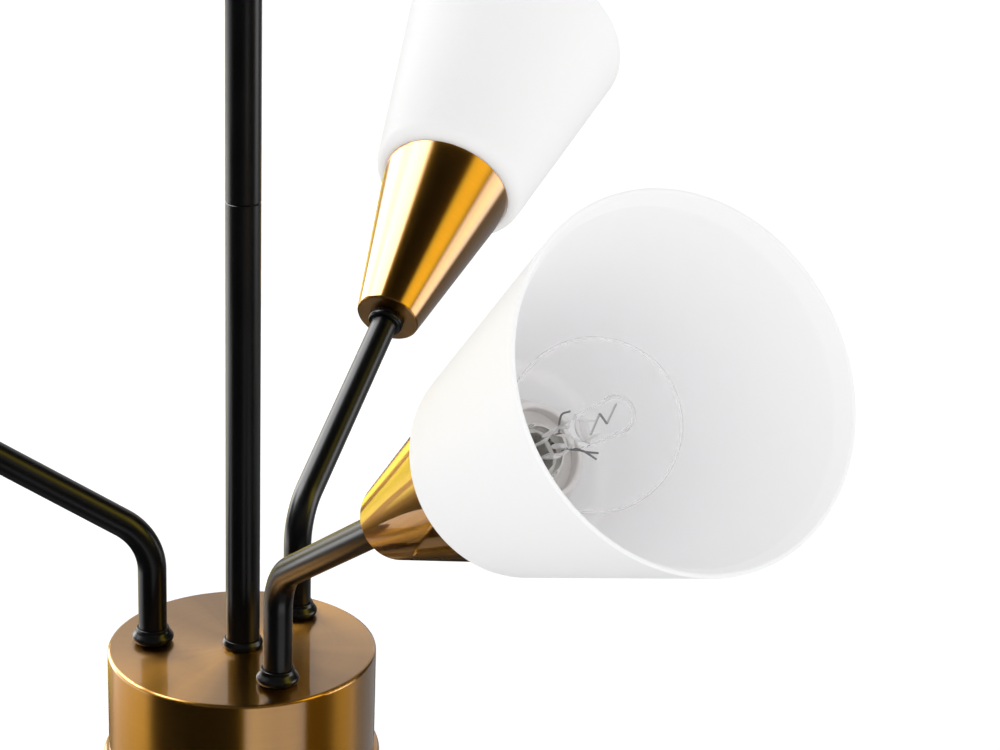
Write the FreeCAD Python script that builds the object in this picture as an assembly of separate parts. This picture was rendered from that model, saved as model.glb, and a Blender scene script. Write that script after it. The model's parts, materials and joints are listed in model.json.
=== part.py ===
import FreeCAD, Part
import math
import os

# Pendant lamp with three swivelling arms: a ceiling canopy, a stem, a brass hub and, on each
# arm, a brass cone that carries an open opal glass shade with a small ball bulb in it.
# Millimetres, +Z up. The origin is the centre of the face that lies against the ceiling.

# Driving dimensions of the stem and the ceiling fitting
CANOPY_R = 57.5
CANOPY_H = 25.0
CANOPY_SHEET = 0.9
CANOPY_ROUNDING = 3.5
UPPER_STEM_L = 358.0
LOWER_STEM_L = 162.0
STEM_R = 6.0
THREAD_R = 5.0
NIPPLE_BORE_R = 3.5
SEAM_CHAMFER = 0.3
NIPPLE_FIT = 0.1
CANOPY_NIPPLE_BELOW = 10.0
CANOPY_NIPPLE_ABOVE = 9.0
HUB_NIPPLE_ABOVE = 12.0
HUB_NIPPLE_BELOW = 13.0
JOINER_L = 24.0
FOOT_RING_R = 7.2
FOOT_RING_H = 3.2

BRACKET_W = 22.0
BRACKET_T = 1.5
BRACKET_REACH = 55.0
BRACKET_BEND = 3.0
LUG_H = 14.0
SLOT_SPACING = 64.0
SLOT_L = 12.0
SLOT_W = 4.5
CABLE_HOLE_R = 7.0
SIDE_SCREW_Z = -8.0
SIDE_SCREW_R = 2.0
SIDE_HOLE_R = 2.2
SIDE_HEAD_R = 4.0
SIDE_HEAD_H = 2.6
SIDE_SCREW_L = 8.0

BLOCK_X = 9.5
BLOCK_W = 15.0
BLOCK_L = 29.0
BLOCK_H = 12.0
BLOCK_PITCH = 9.0
BLOCK_BASE_H = 6.6
BLOCK_TOWER_W = 7.56
BLOCK_TOWER_INSET = 1.0
BLOCK_SCREW_HOLE_R = 1.8
BLOCK_SCREW_HOLE_DEPTH = 3.5
BLOCK_WIRE_HOLE_R = 1.3
BLOCK_WIRE_HOLE_DEPTH = 4.0
BLOCK_WIRE_Z = -5.0

# Driving dimensions of the hub
HUB_R = 47.4
HUB_SHEET = 1.2
HUB_EDGE = 1.1
HUB_SHOWN_H = 39.0
COVER_R = 49.3
COVER_H = 8.0
COVER_SHEET = 1.2
COVER_LOWER_ROUNDING = 3.0
COVER_LIP_ROUNDING = 1.6
DRUM_FIT = 0.02
KNOB_R = 9.0
KNOB_H = 8.0
KNOB_STUD_R = 2.5
KNOB_STUD_FIT = 0.3
KNOB_STUD_REACH = 4.0
YOKE_W = 28.0
YOKE_DEPTH = 12.0
YOKE_TOP = 7.0
YOKE_H = 32.0
YOKE_WINDOW_W = 20.0
YOKE_WINDOW_TOP = 15.0
YOKE_WINDOW_H = 18.0
NUT_FLATS = 14.0
NUT_H = 3.0
NUT_WASHER_R = 8.5
NUT_WASHER_T = 0.8

# Driving dimensions of one arm
FOOT_CIRCLE_R = 32.0
ARM_R = 5.0
ARM_BORE_R = 4.0
ARM_RISE = 27.5
ARM_BEND_R = 21.5
ARM_TILT = 32.0
ARM_STRAIGHT = 85.5
ARM_THREAD_L = 12.0
SWIVEL_FIT = 0.05
FLANGE_R = 7.75
FLANGE_H = 5.6
COLLAR_R = 6.9
COLLAR_L = 3.6

# Where each arm stands on the hub and how far it is swivelled from the outward line, in degrees
ARMS = {"front": (-60.0, 2.5), "rear": (60.0, 12.5), "left": (180.0, 13.0)}

# Driving dimensions of one head, along its own axis from the cone's small end
CONE_SMALL_R = 12.3
CONE_LARGE_R = 26.5
CONE_L = 72.5
CONE_SHEET = 1.0
CONE_EDGE = 0.8
GLASS_BASE_R = 30.5
GLASS_MOUTH_R = 47.5
GLASS_L = 94.5
GLASS_WALL = 2.2
GLASS_CORNER = 6.0
GLASS_HOLE_R = 14.3
HOLDER_R = 14.0
HOLDER_BACK = 35.0
HOLDER_FRONT = 18.0
HOLDER_FLANGE_R = 18.0
HOLDER_FLANGE_T = 2.0
HOLDER_TAIL_R = 7.5
HOLDER_TAIL_L = 5.0
HOLDER_BODY_R = 12.5
HOLDER_WALL = 1.9
HOLDER_FLOOR_T = 1.5
HOLDER_TUBE_DEPTH = 4.0
RING_R = 17.5
RING_H = 6.0
SLEEVE_R = 6.85
SLEEVE_T = 0.4
SLEEVE_FRONT = 14.0
SLEEVE_BACK = 9.0

# Driving dimensions of one bulb, of the small-cap kind with a 45 mm ball
CAP_R = 6.8
CAP_FRONT = 15.0
CAP_TIP = 8.0
CAP_COLLAR_R = 8.1
CAP_COLLAR_L = 3.0
CAP_CONTACT_R = 2.4
CAP_CONTACT_H = 1.2
SEAL_H = 2.0
BALL_R = 22.5
BALL_CENTRE = 48.0
NECK_R = 7.4
NECK_FLARE = 12.0
BULB_WALL = 0.7
CAPSULE_R = 5.0
CAPSULE_BACK = 43.0
CAPSULE_FRONT = 64.0
PINCH_L = 8.0
PINCH_W = 8.0
PINCH_T = 2.8
LEAD_R = 0.4
LEAD_SPREAD = 2.6

# Driving dimensions of the wires
STEM_WIRE_R = 0.9
STEM_WIRE_RING = 1.6
ARM_WIRE_R = 0.8
ARM_WIRE_OFFSET = 1.3
ARM_WIRE_END = 15.0
WIRE_BEND = 2.0
WIRE_GAP = 0.3
STEM_WIRE_LEVEL = 19.0
HUB_WIRE_LEVELS = {"left": 21.5, "rear": 23.5, "front": 25.5}
CRIMP_X = 26.0
CRIMP_Y = 7.0
CRIMP_R = 4.5
CRIMP_TOP = 29.0
CRIMP_L = 14.0

# Heights worked out from the driving dimensions
HUB_Z = -(CANOPY_H + UPPER_STEM_L + LOWER_STEM_L)
SEAM_Z = -(CANOPY_H + UPPER_STEM_L)
COVER_Z = HUB_Z - HUB_SHOWN_H - COVER_H
WIRE_END_Z = HUB_Z - ARM_WIRE_END

UP = FreeCAD.Vector(0, 0, 1)
ACROSS = FreeCAD.Vector(0, 1, 0)
CENTRE = FreeCAD.Vector(0, 0, 0)


def point(x, y, z):
    return FreeCAD.Vector(x, y, z)


def rounded_wire(points, roundings, closed):
    """Straight runs through the points, with a tangent arc at each point that has a rounding."""
    count = len(points)
    stops = []
    for i, here in enumerate(points):
        at_end = not closed and i in (0, count - 1)
        if at_end or not roundings[i]:
            stops.append((here, None, here))
            continue
        back = (points[i - 1] - here).normalize()
        ahead = (points[(i + 1) % count] - here).normalize()
        half = back.getAngle(ahead) / 2
        reach = roundings[i] / math.tan(half)
        depth = roundings[i] / math.sin(half) - roundings[i]
        middle = here + (back + ahead).normalize() * depth
        stops.append((here + back * reach, middle, here + ahead * reach))
    edges = []
    for i, (arrive, middle, leave) in enumerate(stops):
        if middle:
            edges.append(Part.Arc(arrive, middle, leave).toShape())
        if closed or i < count - 1:
            following = stops[(i + 1) % count][0]
            if leave.distanceToPoint(following) > 1e-6:
                edges.append(Part.LineSegment(leave, following).toShape())
    return Part.Wire(edges)


def turned(corners):
    """Solid turned about Z from (radius, height) corners, with a rounding as a third value."""
    points = [point(corner[0], 0, corner[1]) for corner in corners]
    roundings = [corner[2] if len(corner) > 2 else 0 for corner in corners]
    profile = Part.Face(rounded_wire(points, roundings, True))
    return profile.revolve(CENTRE, UP, 360)


def tube_along(points, bend, outer, inner=0):
    """Round rod, or a tube with a bore, along straight runs joined by tangent arcs."""
    path = rounded_wire(points, [bend] * len(points), False)
    start = points[0]
    heading = points[1] - start
    rod = path.makePipe(Part.Face(Part.Wire(Part.makeCircle(outer, start, heading))))
    if not inner:
        return rod
    bore = path.makePipe(Part.Face(Part.Wire(Part.makeCircle(inner, start, heading))))
    return rod.cut(bore)


def pipe(outer, inner, low, high):
    """Straight tube about Z from the height low to the height high."""
    rod = Part.makeCylinder(outer, high - low, point(0, 0, low))
    return rod.cut(Part.makeCylinder(inner, high - low, point(0, 0, low)))


def box(low, high):
    size = high - low
    return Part.makeBox(size.x, size.y, size.z, low)


def hex_nut(flats, bore, low, height):
    """Hexagon nut about Z, its corners taken off by a turned cone at both faces."""
    corner_r = flats / math.sqrt(3)
    corners = []
    for i in range(7):
        angle = math.radians(60 * i)
        corners.append(point(corner_r * math.cos(angle), corner_r * math.sin(angle), low))
    nut = Part.Face(Part.makePolygon(corners)).extrude(UP * height)
    bevel = (corner_r - flats / 2) * 0.6
    envelope = turned([(0, low), (flats / 2, low), (corner_r, low + bevel),
                       (corner_r, low + height - bevel), (flats / 2, low + height), (0, low + height)])
    return nut.common(envelope).cut(Part.makeCylinder(bore, height, point(0, 0, low)))


def group(solids):
    return Part.makeCompound(solids)


def ceiling_bracket():
    """Steel strip with two slots for the ceiling screws and two lugs bent down for the canopy."""
    reach = BRACKET_REACH
    inner_bend = BRACKET_BEND - BRACKET_T
    outline = [(-reach, -LUG_H, 0), (-reach, 0, BRACKET_BEND), (reach, 0, BRACKET_BEND), (reach, -LUG_H, 0),
               (reach - BRACKET_T, -LUG_H, 0), (reach - BRACKET_T, -BRACKET_T, inner_bend),
               (-reach + BRACKET_T, -BRACKET_T, inner_bend), (-reach + BRACKET_T, -LUG_H, 0)]
    points = [point(x, -BRACKET_W / 2, z) for x, z, _ in outline]
    wire = rounded_wire(points, [corner[2] for corner in outline], True)
    strip = Part.Face(wire).extrude(ACROSS * BRACKET_W)
    strip = strip.cut(Part.makeCylinder(CABLE_HOLE_R, BRACKET_T, point(0, 0, -BRACKET_T)))
    slot_half = (SLOT_L - SLOT_W) / 2
    for side in (-1, 1):
        middle = side * SLOT_SPACING / 2
        low = point(middle - slot_half, -SLOT_W / 2, -BRACKET_T)
        strip = strip.cut(box(low, point(middle + slot_half, SLOT_W / 2, 0)))
        for end in (-1, 1):
            round_end = point(middle + end * slot_half, 0, -BRACKET_T)
            strip = strip.cut(Part.makeCylinder(SLOT_W / 2, BRACKET_T, round_end))
        lug_hole = point(side * (reach - 2 * BRACKET_T), 0, SIDE_SCREW_Z)
        strip = strip.cut(Part.makeCylinder(SIDE_SCREW_R, 3 * BRACKET_T, lug_hole, point(side, 0, 0)))
    return strip


def terminal_block():
    """Three-way terminal block under the bracket, with a screw hole above each wire hole."""
    top = -BRACKET_T
    low = point(BLOCK_X, -BLOCK_L / 2, top - BLOCK_BASE_H)
    block = box(low, point(BLOCK_X + BLOCK_W, BLOCK_L / 2, top))
    half = BLOCK_TOWER_W / 2
    near = BLOCK_X + BLOCK_TOWER_INSET
    far = BLOCK_X + BLOCK_W - BLOCK_TOWER_INSET
    for pole in (-1, 0, 1):
        y = pole * BLOCK_PITCH
        block = block.fuse(box(point(near, y - half, top - BLOCK_H), point(far, y + half, top)))
        for share in (0.3, 0.7):
            screw_hole = point(BLOCK_X + BLOCK_W * share, y, top - BLOCK_H)
            block = block.cut(Part.makeCylinder(BLOCK_SCREW_HOLE_R, BLOCK_SCREW_HOLE_DEPTH, screw_hole))
        for end, inward in ((BLOCK_X, 1), (BLOCK_X + BLOCK_W, -1)):
            wire_hole = point(end, y, BLOCK_WIRE_Z)
            block = block.cut(Part.makeCylinder(BLOCK_WIRE_HOLE_R, BLOCK_WIRE_HOLE_DEPTH, wire_hole,
                                                point(inward, 0, 0)))
    return block.removeSplitter()


def canopy():
    """Round sheet cup, open at the ceiling, with a centre hole and two side screw holes."""
    inside = CANOPY_R - CANOPY_SHEET
    floor = -CANOPY_H + CANOPY_SHEET
    hole = THREAD_R + NIPPLE_FIT
    cup = turned([(hole, -CANOPY_H), (CANOPY_R, -CANOPY_H, CANOPY_ROUNDING), (CANOPY_R, 0),
                  (inside, 0), (inside, floor, CANOPY_ROUNDING - CANOPY_SHEET), (hole, floor)])
    for side in (-1, 1):
        start = point(side * (inside - CANOPY_SHEET), 0, SIDE_SCREW_Z)
        cup = cup.cut(Part.makeCylinder(SIDE_HOLE_R, 3 * CANOPY_SHEET, start, point(side, 0, 0)))
    return cup


def canopy_screws():
    """Two slotted dome-headed screws that hold the canopy to the bracket's lugs."""
    slot_w = 0.9
    slot_depth = 1.1
    screw = turned([(0, -SIDE_SCREW_L), (SIDE_SCREW_R, -SIDE_SCREW_L), (SIDE_SCREW_R, 0),
                    (SIDE_HEAD_R, 0, 0.4), (SIDE_HEAD_R * 0.92, SIDE_HEAD_H, 1.8), (0, SIDE_HEAD_H)])
    slot_low = point(-slot_w / 2, -SIDE_HEAD_R, SIDE_HEAD_H - slot_depth)
    slot = box(slot_low, point(slot_w / 2, SIDE_HEAD_R, SIDE_HEAD_H))
    screw = screw.cut(slot)
    screws = []
    for side in (-1, 1):
        turn = FreeCAD.Rotation(ACROSS, 90 * side)
        screws.append(placed(screw, FreeCAD.Placement(point(side * CANOPY_R, 0, SIDE_SCREW_Z), turn)))
    return group(screws)


def canopy_nipple():
    return pipe(THREAD_R, NIPPLE_BORE_R, -CANOPY_H - CANOPY_NIPPLE_BELOW, -CANOPY_H + CANOPY_NIPPLE_ABOVE)


def canopy_nut():
    """Lock washer and hexagon nut on the nipple inside the canopy."""
    floor = -CANOPY_H + CANOPY_SHEET
    washer = pipe(NUT_WASHER_R, THREAD_R + NIPPLE_FIT, floor, floor + NUT_WASHER_T)
    return group([washer, hex_nut(NUT_FLATS, THREAD_R, floor + NUT_WASHER_T, NUT_H)])


def stem_tube(top, bottom, chamfer_top, chamfer_bottom):
    """Length of stem with the fine chamfer that shows at the seam between the two lengths."""
    top_cut = SEAM_CHAMFER if chamfer_top else 0
    bottom_cut = SEAM_CHAMFER if chamfer_bottom else 0
    corners = [(THREAD_R, bottom), (STEM_R - bottom_cut, bottom)]
    if bottom_cut:
        corners.append((STEM_R, bottom + bottom_cut))
    if top_cut:
        corners.append((STEM_R, top - top_cut))
    corners += [(STEM_R - top_cut, top), (THREAD_R, top)]
    return turned(corners)


def stem_foot_ring():
    """Small rounded bead round the stem where it stands on the hub."""
    low = HUB_Z
    high = HUB_Z + FOOT_RING_H
    return turned([(STEM_R, low), (FOOT_RING_R - 0.2, low, 0.3), (FOOT_RING_R, low + FOOT_RING_H * 0.5, 1.4),
                   (STEM_R + 0.45, high, 0.4), (STEM_R, high)])


def hub_nut():
    """Lock washer and hexagon nut that hold the drum to the stem's nipple."""
    under = HUB_Z - HUB_SHEET
    washer = pipe(NUT_WASHER_R, THREAD_R + NIPPLE_FIT, under - NUT_WASHER_T, under)
    return group([washer, hex_nut(NUT_FLATS, THREAD_R, under - NUT_WASHER_T - NUT_H, NUT_H)])


def hub_yoke():
    """Steel loop screwed to the nipple, open at its middle for the wires, tapped for the knob."""
    top = HUB_Z - YOKE_TOP
    bottom = top - YOKE_H
    corner = 5.0
    half = YOKE_W / 2
    outline = [point(-YOKE_DEPTH / 2, y, z)
               for y, z in ((-half, bottom), (half, bottom), (half, top), (-half, top))]
    loop = Part.Face(rounded_wire(outline, [corner] * 4, True)).extrude(point(YOKE_DEPTH, 0, 0))
    window_high = HUB_Z - YOKE_WINDOW_TOP
    window_low = window_high - YOKE_WINDOW_H
    low = point(-YOKE_DEPTH, -YOKE_WINDOW_W / 2, window_low)
    loop = loop.cut(box(low, point(YOKE_DEPTH, YOKE_WINDOW_W / 2, window_high)))
    loop = loop.cut(Part.makeCylinder(THREAD_R, YOKE_WINDOW_TOP - YOKE_TOP, point(0, 0, window_high)))
    return loop.cut(Part.makeCylinder(KNOB_STUD_R, window_low - bottom, point(0, 0, bottom)))


def hub_drum():
    """Brass drum, open below, with a hole for the stem's nipple and one for each arm's foot."""
    low = COVER_Z + COVER_SHEET
    inside = HUB_R - HUB_SHEET
    under = HUB_Z - HUB_SHEET
    hole = THREAD_R + NIPPLE_FIT
    drum = turned([(hole, under), (inside, under), (inside, low), (HUB_R, low),
                   (HUB_R, HUB_Z, HUB_EDGE), (hole, HUB_Z)])
    for azimuth, _ in ARMS.values():
        foot = foot_point(azimuth, under - HUB_SHEET)
        drum = drum.cut(Part.makeCylinder(ARM_R + SWIVEL_FIT, 3 * HUB_SHEET, foot))
    return drum


def hub_cover():
    """Shallow brass cup that closes the drum from below and stands proud of it as a round lip."""
    top = HUB_Z - HUB_SHOWN_H
    inside = HUB_R + DRUM_FIT
    floor = COVER_Z + COVER_SHEET
    hole = KNOB_STUD_R + KNOB_STUD_FIT
    return turned([(hole, COVER_Z), (COVER_R, COVER_Z, COVER_LOWER_ROUNDING),
                   (COVER_R, top, COVER_LIP_ROUNDING), (inside, top), (inside, floor), (hole, floor)])


def cover_knob():
    """Turned knob under the hub, with the stud that draws the cover up."""
    top = COVER_Z
    bottom = COVER_Z - KNOB_H
    neck_r = KNOB_R * 0.62
    stud_top = HUB_Z - YOKE_TOP - YOKE_H + KNOB_STUD_REACH
    return turned([(0, bottom), (KNOB_R, bottom, 3.2), (KNOB_R, top - 2.6, 1.2), (neck_r, top - 1.6, 0.6),
                   (neck_r, top), (KNOB_STUD_R, top), (KNOB_STUD_R, stud_top), (0, stud_top)])


def hub_connectors():
    """Two closed crimp caps that join the arms' wires to the stem's wires."""
    top = HUB_Z - CRIMP_TOP
    low = top - CRIMP_L
    cap = turned([(0, low), (CRIMP_R * 0.8, low, 1.5), (CRIMP_R, low + 4, 2.0),
                  (CRIMP_R, top, 0.5), (0, top)])
    return group([placed(cap, FreeCAD.Placement(point(CRIMP_X, side * CRIMP_Y, 0), FreeCAD.Rotation()))
                  for side in (-1, 1)])


def stem_wires():
    """Live, neutral and earth wires from the terminal block down the stem, and the hub's wires."""
    crimp_top = HUB_Z - CRIMP_TOP
    stem_level = HUB_Z - STEM_WIRE_LEVEL
    window_low = HUB_Z - YOKE_WINDOW_TOP - YOKE_WINDOW_H
    wires = []
    earth = [point(BLOCK_X, 0, BLOCK_WIRE_Z), point(STEM_WIRE_RING, 0, BLOCK_WIRE_Z),
             point(STEM_WIRE_RING, 0, window_low)]
    wires.append(tube_along(earth, 4.0, STEM_WIRE_R))
    for side in (-1, 1):
        x = -STEM_WIRE_RING / 2
        y = side * STEM_WIRE_RING * math.sin(math.radians(60))
        entry = (CRIMP_X - 1, side * (CRIMP_Y + 1))
        route = [point(BLOCK_X, side * BLOCK_PITCH, BLOCK_WIRE_Z), point(x, y, BLOCK_WIRE_Z),
                 point(x, y, stem_level), point(*entry, stem_level), point(*entry, crimp_top)]
        wires.append(tube_along(route, 3.5, STEM_WIRE_R))
    for arm, level in HUB_WIRE_LEVELS.items():
        azimuth = ARMS[arm][0]
        foot = foot_point(azimuth, 0)
        aside = point(-math.sin(math.radians(azimuth)), math.cos(math.radians(azimuth)), 0) * ARM_WIRE_OFFSET
        for side in (-1, 1):
            start = foot - aside * side
            far_cap = foot.y * side < -ARM_R
            level_with = abs(foot.y) < ARM_R
            entry = (CRIMP_X + (-1 if far_cap else 1),
                     side * (CRIMP_Y + (-1 if far_cap or level_with else 1)))
            depth = HUB_Z - level
            route = [point(start.x, start.y, WIRE_END_Z - WIRE_GAP), point(start.x, start.y, depth),
                     point(*entry, depth), point(*entry, crimp_top)]
            wires.append(tube_along(route, WIRE_BEND, ARM_WIRE_R))
    return group(wires)


def foot_point(azimuth, z):
    """Centre of the arm's foot on the hub, at the height z."""
    angle = math.radians(azimuth)
    return point(FOOT_CIRCLE_R * math.cos(angle), FOOT_CIRCLE_R * math.sin(angle), z)


# An arm is built with its foot's axis on Z, the hub's top at height 0 and its tube towards +X.
# Its head is built along Z, from the cone's small end, and then tilted onto the tube's end.

def arm_route(start_z, head_reach, offset):
    """Corners of the arm's centre line, moved sideways by the offset, up to a place in the head."""
    turn = math.radians(90 - ARM_TILT)
    corner_z = ARM_RISE + ARM_BEND_R * math.tan(turn / 2)
    run = ARM_BEND_R * math.tan(turn / 2) + ARM_STRAIGHT + head_reach
    end = point(run * math.sin(turn), offset, corner_z + run * math.cos(turn))
    return [point(0, offset, start_z), point(0, offset, corner_z), end]


def head_placement():
    """Placement that takes a head built along Z to the end of the arm's straight run."""
    end = arm_route(0, 0, 0)[-1]
    return FreeCAD.Placement(end, FreeCAD.Rotation(ACROSS, 90 - ARM_TILT))


def arm_tube():
    reach = CONE_L - HOLDER_BACK + 2.0
    return tube_along(arm_route(-ARM_THREAD_L, reach, 0), ARM_BEND_R, ARM_R, ARM_BORE_R)


def arm_flange():
    """Low turned flange on the tube, standing on the hub with a running gap."""
    return turned([(ARM_R, SWIVEL_FIT), (6.4, SWIVEL_FIT, 0.4), (FLANGE_R, 2.0, 1.6), (6.0, 4.3, 2.0),
                   (5.7, FLANGE_H, 0.4), (ARM_R, FLANGE_H)])


def arm_nuts():
    """Friction washer and two lock nuts on the arm's thread, under the hub's top."""
    under = -HUB_SHEET - SWIVEL_FIT
    washer = pipe(NUT_WASHER_R, ARM_R, under - NUT_WASHER_T, under)
    first = under - NUT_WASHER_T - NUT_H
    nuts = [hex_nut(NUT_FLATS, ARM_R, first - NUT_H * i, NUT_H) for i in range(2)]
    return group([washer] + nuts)


def arm_wires():
    """The arm's two wires, from inside the hub to the lampholder's back."""
    reach = CONE_L - HOLDER_BACK + 4.0
    return group([tube_along(arm_route(-ARM_WIRE_END, reach, side * ARM_WIRE_OFFSET), ARM_BEND_R, ARM_WIRE_R)
                  for side in (-1, 1)])


def cone_collar():
    """Rounded ring screwed onto the tube behind the cone."""
    return turned([(ARM_R, -COLLAR_L), (COLLAR_R, -COLLAR_L, 1.4), (COLLAR_R, 0, 0.6), (ARM_R, 0)])


def cone():
    """Sheet cone with a flat small end; its large end closes on the glass."""
    slope = (CONE_LARGE_R - CONE_SMALL_R) / CONE_L
    inner_small = CONE_SMALL_R - CONE_SHEET + slope * CONE_SHEET
    hole = ARM_R + 0.05
    return turned([(hole, 0), (CONE_SMALL_R, 0, CONE_EDGE), (CONE_LARGE_R, CONE_L),
                   (CONE_LARGE_R - CONE_SHEET, CONE_L), (inner_small, CONE_SHEET), (hole, CONE_SHEET)])


def lampholder():
    """Small-cap lampholder with a flange behind the glass and a thread in front of it."""
    back = CONE_L - HOLDER_BACK
    front = CONE_L + HOLDER_FRONT
    recess = CONE_L + SLEEVE_FRONT
    floor = CONE_L - SLEEVE_BACK - HOLDER_FLOOR_T
    behind_flange = CONE_L - HOLDER_FLANGE_T
    sleeve_bore = SLEEVE_R + SLEEVE_T
    mouth_r = HOLDER_R - HOLDER_WALL
    holder = turned([(0, back), (HOLDER_TAIL_R, back, 0.6), (HOLDER_TAIL_R, back + HOLDER_TAIL_L),
                     (HOLDER_BODY_R, back + HOLDER_TAIL_L + 2, 1.2), (HOLDER_BODY_R, behind_flange - 6),
                     (HOLDER_R, behind_flange - 4), (HOLDER_R, behind_flange),
                     (HOLDER_FLANGE_R, behind_flange, 0.5), (HOLDER_FLANGE_R, CONE_L),
                     (HOLDER_R, CONE_L), (HOLDER_R, front, 0.9), (mouth_r, front, 0.7),
                     (mouth_r, recess), (sleeve_bore, recess), (sleeve_bore, floor), (0, floor)])
    return holder.cut(Part.makeCylinder(ARM_R, HOLDER_TUBE_DEPTH, point(0, 0, back)))


def socket_contacts():
    """Metal screw sleeve in the lampholder and the springy tongue that meets the bulb's tip."""
    back = CONE_L - SLEEVE_BACK
    floor = back - HOLDER_FLOOR_T
    sleeve = pipe(SLEEVE_R + SLEEVE_T, SLEEVE_R, back + 2.5, CONE_L + SLEEVE_FRONT)
    tongue = box(point(-5.5, -1.5, floor), point(4.0, 1.5, floor + 0.5))
    leaf = box(point(-2.5, -1.5, floor + 0.5), point(2.5, 1.5, CONE_L - CAP_TIP - 0.3))
    return group([sleeve, tongue.fuse(leaf).removeSplitter()])


def shade_ring():
    """Ring screwed onto the lampholder that presses the glass against the flange."""
    low = CONE_L + GLASS_WALL
    high = low + RING_H
    return turned([(HOLDER_R, low), (RING_R, low, 0.5), (RING_R, high, 1.2), (HOLDER_R, high)])


def shade():
    """Thick opal glass cup: a holed base, a rounded heel, a straight flare and a fire-rounded lip."""
    base = CONE_L
    mouth = CONE_L + GLASS_L
    flare = math.atan2(GLASS_MOUTH_R - GLASS_BASE_R, GLASS_L)
    wall = GLASS_WALL / math.cos(flare)
    inner_base = GLASS_BASE_R - wall + GLASS_WALL * math.tan(flare)
    lip = GLASS_WALL * 0.48
    return turned([(GLASS_HOLE_R, base), (GLASS_BASE_R, base, GLASS_CORNER), (GLASS_MOUTH_R, mouth, lip),
                   (GLASS_MOUTH_R - wall, mouth, lip), (inner_base, base + GLASS_WALL, GLASS_CORNER - 2.0),
                   (GLASS_HOLE_R, base + GLASS_WALL)])


def bulb_solid(inset, low):
    """Solid of the bulb's outline: a neck, a hollow flare and a ball, each inset by one wall."""
    neck = NECK_R - inset
    flare = NECK_FLARE + inset
    ball = BALL_R - inset
    centre = CONE_L + BALL_CENTRE
    drop = math.sqrt((BALL_R + NECK_FLARE) ** 2 - (NECK_R + NECK_FLARE) ** 2)
    flare_centre = (NECK_R + NECK_FLARE, centre - drop)
    lean = math.atan2(drop, NECK_R + NECK_FLARE)
    halfway = math.pi - lean / 2
    meet = (ball * math.cos(lean), centre - ball * math.sin(lean))
    swell = (math.pi / 2 - lean) / 2
    flare_mid = point(flare_centre[0] + flare * math.cos(halfway), 0,
                      flare_centre[1] + flare * math.sin(halfway))
    ball_mid = point(ball * math.cos(swell), 0, centre + ball * math.sin(swell))
    edges = [Part.LineSegment(point(0, 0, low), point(neck, 0, low)),
             Part.LineSegment(point(neck, 0, low), point(neck, 0, flare_centre[1])),
             Part.Arc(point(neck, 0, flare_centre[1]), flare_mid, point(meet[0], 0, meet[1])),
             Part.Arc(point(meet[0], 0, meet[1]), ball_mid, point(0, 0, centre + ball)),
             Part.LineSegment(point(0, 0, centre + ball), point(0, 0, low))]
    profile = Part.Face(Part.Wire([edge.toShape() for edge in edges]))
    return profile.revolve(CENTRE, UP, 360)


def bulb_glass():
    """Thin clear ball with its neck closed by the seal that the leads come through."""
    low = CONE_L + CAP_FRONT
    return bulb_solid(0, low).cut(bulb_solid(BULB_WALL, low + SEAL_H))


def bulb_cap():
    """Screw cap of the bulb: shell, collar round the neck, insulator and contact tip."""
    tip = CONE_L - CAP_TIP
    shell_low = tip + 4.0
    front = CONE_L + CAP_FRONT
    collar = front + CAP_COLLAR_L
    return turned([(0, tip), (CAP_CONTACT_R, tip, 0.6), (CAP_CONTACT_R, tip + CAP_CONTACT_H),
                   (CAP_R - 0.8, shell_low, 0.3), (CAP_R, shell_low + 0.8, 0.4), (CAP_R, front - 0.5),
                   (CAP_COLLAR_R, front + 1.5, 0.5), (CAP_COLLAR_R, collar), (NECK_R, collar),
                   (NECK_R, front), (0, front)])


def bulb_capsule():
    """Small inner capsule with a domed end and a flat pinched seal."""
    back = CONE_L + CAPSULE_BACK
    front = CONE_L + CAPSULE_FRONT
    body = turned([(0, back), (CAPSULE_R, back, 2.0), (CAPSULE_R, front, 4.9), (0, front)])
    pinch_low = point(-PINCH_W / 2, -PINCH_T / 2, back - PINCH_L)
    pinch = box(pinch_low, point(PINCH_W / 2, PINCH_T / 2, back + 1.5))
    return body.fuse(pinch).removeSplitter()


def bulb_leads():
    """Two stiff leads from the neck's seal to the capsule's pinch, each with a small crank."""
    seal = CONE_L + CAP_FRONT + SEAL_H
    pinch = CONE_L + CAPSULE_BACK - PINCH_L
    leads = []
    for side in (-1, 1):
        inner = side * LEAD_SPREAD * 0.7
        outer = side * LEAD_SPREAD
        route = [point(inner, 0, seal), point(inner, 0, seal + 6), point(outer, 0, seal + 9),
                 point(outer, 0, pinch)]
        leads.append(tube_along(route, 1.5, LEAD_R))
    return group(leads)


def placed(shape, placement):
    """Copy of the shape, moved rigidly."""
    moved = shape.copy()
    moved.Placement = placement.multiply(moved.Placement)
    return moved


def fixed_parts():
    """Everything that hangs still from the ceiling."""
    return {
        "ceiling_bracket": ceiling_bracket(),
        "terminal_block": terminal_block(),
        "canopy": canopy(),
        "canopy_screws": canopy_screws(),
        "canopy_nipple": canopy_nipple(),
        "canopy_nut": canopy_nut(),
        "upper_stem": stem_tube(-CANOPY_H, SEAM_Z, False, True),
        "stem_joiner": pipe(THREAD_R, NIPPLE_BORE_R, SEAM_Z - JOINER_L / 2, SEAM_Z + JOINER_L / 2),
        "lower_stem": stem_tube(SEAM_Z, HUB_Z, True, False),
        "stem_wires": stem_wires(),
        "stem_foot_ring": stem_foot_ring(),
        "hub_nipple": pipe(THREAD_R, NIPPLE_BORE_R, HUB_Z - HUB_NIPPLE_BELOW, HUB_Z + HUB_NIPPLE_ABOVE),
        "hub_nut": hub_nut(),
        "hub_yoke": hub_yoke(),
        "hub_drum": hub_drum(),
        "hub_cover": hub_cover(),
        "cover_knob": cover_knob(),
        "hub_connectors": hub_connectors(),
    }


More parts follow.
